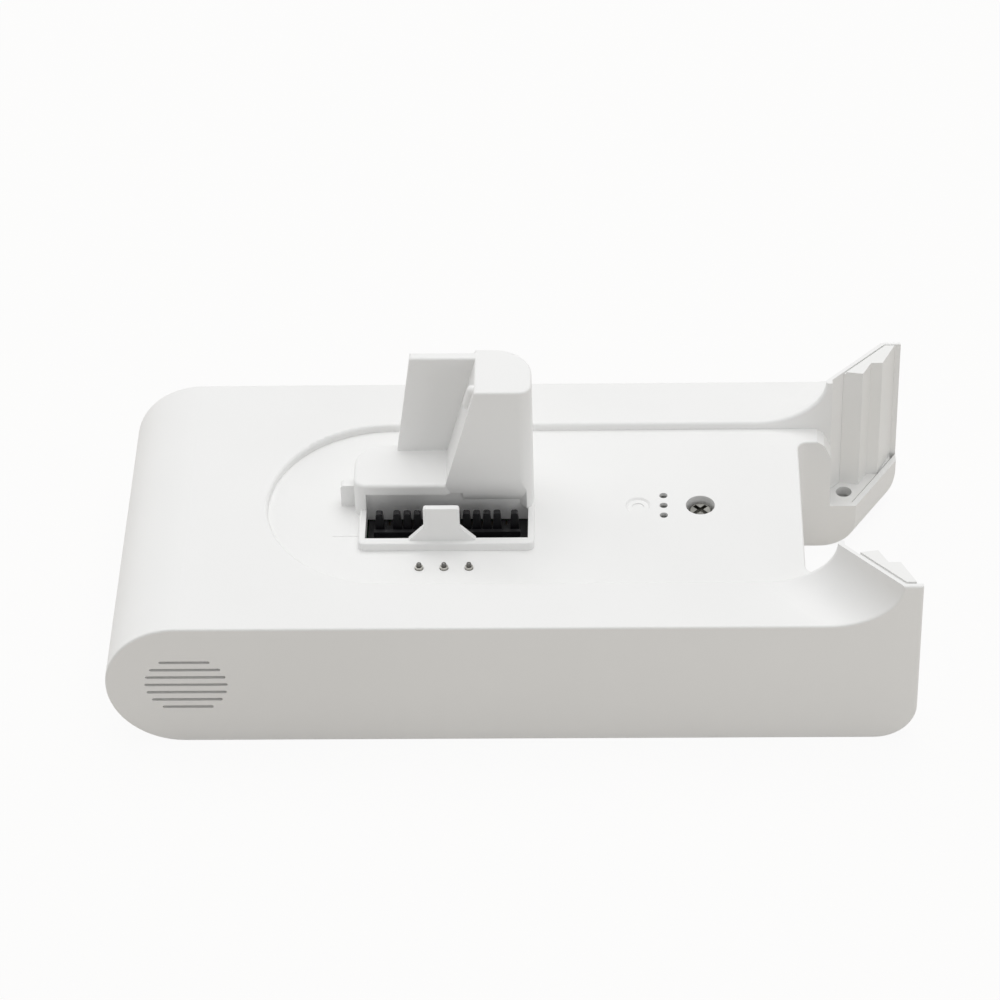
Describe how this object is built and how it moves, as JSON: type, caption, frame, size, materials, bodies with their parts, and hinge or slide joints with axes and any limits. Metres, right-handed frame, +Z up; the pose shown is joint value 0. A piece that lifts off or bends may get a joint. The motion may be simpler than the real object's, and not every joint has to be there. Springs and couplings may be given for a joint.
{
  "type": "cordless vacuum battery pack",
  "caption": "Flat white battery pack with a round nose, a raised connector tower, sprung contact pins and a forked end that guides it onto a cordless vacuum cleaner.",
  "frame": {"origin": "middle of the footprint, on the underside", "axes": "+X from the round nose to the forked end, +Z up out of the dock face"},
  "size_m": [0.164, 0.0788, 0.0611],
  "materials": {
    "housing_white": "fine matt moulded",
    "rail_white": "satin moulded",
    "connector_black": "satin moulded",
    "contact_brass": "plain",
    "pin_metal": "turned, plated",
    "spring_steel": "drawn wire",
    "screw_steel": "plated",
    "cell_sleeve": "shrink sleeve",
    "nickel": "rolled",
    "frame_grey": "moulded",
    "insulating_paper": "pressed sheet",
    "foam_grey": "closed-cell foam",
    "board_green": "solder mask",
    "component_black": "moulded epoxy",
    "lamp_resin": "cast",
    "clear_resin": "polished",
    "lead_black": "insulated lead",
    "lead_red": "insulated lead"
  },
  "bodies": {
    "pack": {"board_screws": "screw_steel", "cell_1": "cell_sleeve", "cell_2": "cell_sleeve", "cell_3": "cell_sleeve", "cell_4": "cell_sleeve", "cell_5": "cell_sleeve", "cell_6": "cell_sleeve", "cell_7": "cell_sleeve", "cell_frame": "frame_grey", "connector_contacts": "contact_brass", "connector_insert": "connector_black", "control_board": "board_green", "control_chip": "component_black", "cover_screw": "screw_steel", "foam_pad": "foam_grey", "front_end_sheet": "insulating_paper", "front_guide_rail": "rail_white", "indicator_lamps": "lamp_resin", "light_guide": "clear_resin", "lower_housing": "housing_white", "negative_lead": "lead_black", "nickel_strip_1": "nickel", "nickel_strip_2": "nickel", "nickel_strip_3": "nickel", "nickel_strip_4": "nickel", "nickel_strip_5": "nickel", "nickel_strip_6": "nickel", "nickel_strip_7": "nickel", "nickel_strip_8": "nickel", "pin_barrel_1": "pin_metal", "pin_barrel_2": "pin_metal", "pin_barrel_3": "pin_metal", "pin_spring_1": "spring_steel", "pin_spring_2": "spring_steel", "pin_spring_3": "spring_steel", "positive_lead": "lead_red", "power_transistors": "component_black", "rear_end_sheet": "insulating_paper", "rear_guide_rail": "rail_white", "sense_resistor": "component_black", "temperature_probe": "component_black", "upper_housing": "housing_white"},
    "pin_1": {"pin_plunger_1": "pin_metal"},
    "pin_2": {"pin_plunger_2": "pin_metal"},
    "pin_3": {"pin_plunger_3": "pin_metal"}
  },
  "joints": [
    {"name": "pin_press_1", "type": "slide", "parent": "pack", "child": "pin_1", "axis": [0, 0, -1], "range_m": [0, 0.0008], "stiffness_N_per_m": 300, "springref_m": -0.0008, "deforming": ["pin_spring_1"]},
    {"name": "pin_press_2", "type": "slide", "parent": "pack", "child": "pin_2", "axis": [0, 0, -1], "range_m": [0, 0.0008], "stiffness_N_per_m": 300, "springref_m": -0.0008, "deforming": ["pin_spring_2"]},
    {"name": "pin_press_3", "type": "slide", "parent": "pack", "child": "pin_3", "axis": [0, 0, -1], "range_m": [0, 0.0008], "stiffness_N_per_m": 300, "springref_m": -0.0008, "deforming": ["pin_spring_3"]}
  ]
}
